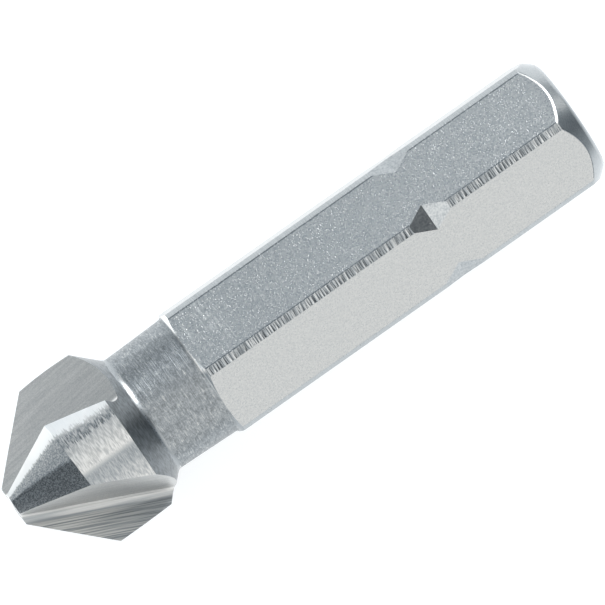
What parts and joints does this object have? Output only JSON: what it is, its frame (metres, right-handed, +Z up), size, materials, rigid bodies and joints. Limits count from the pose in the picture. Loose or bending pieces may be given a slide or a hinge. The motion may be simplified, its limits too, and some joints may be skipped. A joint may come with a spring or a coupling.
{
  "type": "countersink bit",
  "caption": "One-piece steel countersink bit: a fluted 90 degree cone on a short round neck, with a quarter-inch hexagonal shank notched across its corners for quick-release holders.",
  "frame": {"origin": "middle of the bounding box, on the surface that the bit lies on", "axes": "+X from the cutting tip to the shank end, within half a degree of the tool axis, +Z up as it lies at rest"},
  "size_m": [0.031, 0.0082, 0.0079],
  "materials": {
    "steel": "bright ground and turned high speed steel, satin flats and fine grinding lines in the flutes"
  },
  "bodies": {
    "root": {"countersink_bit": "steel"}
  },
  "joints": []
}
